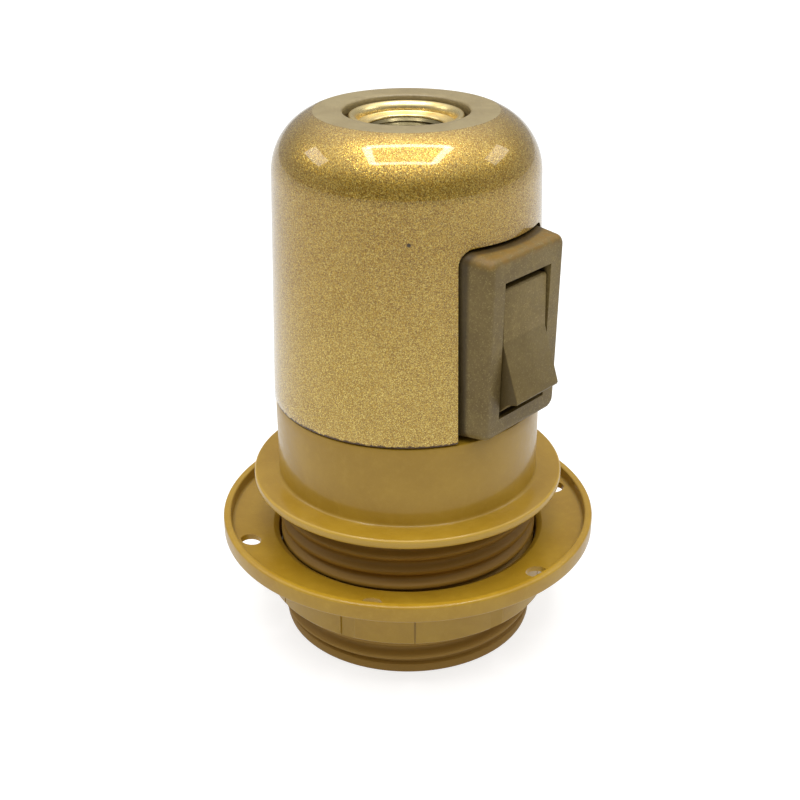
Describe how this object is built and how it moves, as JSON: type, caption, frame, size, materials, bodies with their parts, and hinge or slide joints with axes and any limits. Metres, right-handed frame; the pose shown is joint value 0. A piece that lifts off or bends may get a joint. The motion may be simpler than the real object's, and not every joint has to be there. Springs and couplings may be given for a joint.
{
  "type": "lamp holder",
  "caption": "Pendant-style E27 lamp holder with a domed cap, side rocker switch, flanged threaded skirt, threaded metal top entry and a screw-on shade ring.",
  "frame": {"origin": "middle of the mouth plane, on the lampholder's axis, where it stands on its mouth", "axes": "+Z along the axis from the mouth to the top entry; the switch faces -Y"},
  "size_m": [0.0578, 0.0578, 0.0806],
  "materials": {
    "cap_gold": "metallic gold lacquer on moulded plastic",
    "bush_metal": "bright zinc alloy, gold plated",
    "nut_metal": "zinc plated",
    "screw_metal": "zinc plated",
    "skirt_plastic": "glossy ochre-gold moulding",
    "ring_plastic": "glossy ochre-gold moulding",
    "switch_plastic": "satin bronze-brown moulding",
    "rocker_plastic": "satin bronze-brown moulding",
    "plunger_plastic": "natural moulding",
    "spring_steel": "drawn wire",
    "contact_brass": "stamped",
    "contact_silver": "silver contact",
    "block_plastic": "off-white insulating moulding",
    "bronze_spring": "phosphor bronze strip",
    "rivet_brass": "turned",
    "terminal_brass": "sawn and drilled",
    "link_copper": "copper strip"
  },
  "bodies": {
    "holder": {"cap": "cap_gold", "entry_bush": "bush_metal", "bush_nut": "nut_metal", "bush_grub_screw": "screw_metal", "skirt": "skirt_plastic", "switch_frame": "switch_plastic", "pivot_contact": "contact_brass", "fixed_contact": "contact_brass", "fixed_tip": "contact_silver", "contact_block": "block_plastic", "block_screws": "screw_metal", "centre_rivet": "rivet_brass", "side_contact": "bronze_spring", "side_rivets": "rivet_brass", "line_terminal": "terminal_brass", "neutral_terminal": "terminal_brass", "terminal_screws": "screw_metal", "feed_link": "link_copper", "switch_link": "link_copper"},
    "rocker_body": {"rocker": "rocker_plastic", "rocker_plunger": "plunger_plastic", "plunger_spring": "spring_steel"},
    "bridge_body": {"contact_bridge": "contact_brass", "bridge_tip": "contact_silver"},
    "ring_body": {"shade_ring": "ring_plastic"},
    "leaf_body": {"centre_contact": "bronze_spring"}
  },
  "joints": [
    {"name": "rocker_tilt", "type": "hinge", "parent": "holder", "child": "rocker_body", "pos_m": [0, -0.01516, 0.05185], "axis": [1, 0, 0], "range_deg": [0, 20]},
    {"name": "bridge_tilt", "type": "hinge", "parent": "holder", "child": "bridge_body", "pos_m": [0, -0.00907, 0.05185], "axis": [1, 0, 0], "range_deg": [-14, 0]},
    {"name": "ring_travel", "type": "slide", "parent": "holder", "child": "ring_body", "axis": [0, 0, 1], "range_m": [-0.0072, 0.0059]},
    {"name": "leaf_flex", "type": "hinge", "parent": "holder", "child": "leaf_body", "pos_m": [0, -0.0095, 0.0275], "axis": [1, 0, 0], "range_deg": [0, 8], "stiffness_Nm_per_rad": 0.3}
  ],
  "couplings": [
    {"joint": "bridge_tilt", "follows": "rocker_tilt", "ratio": -0.7}
  ]
}
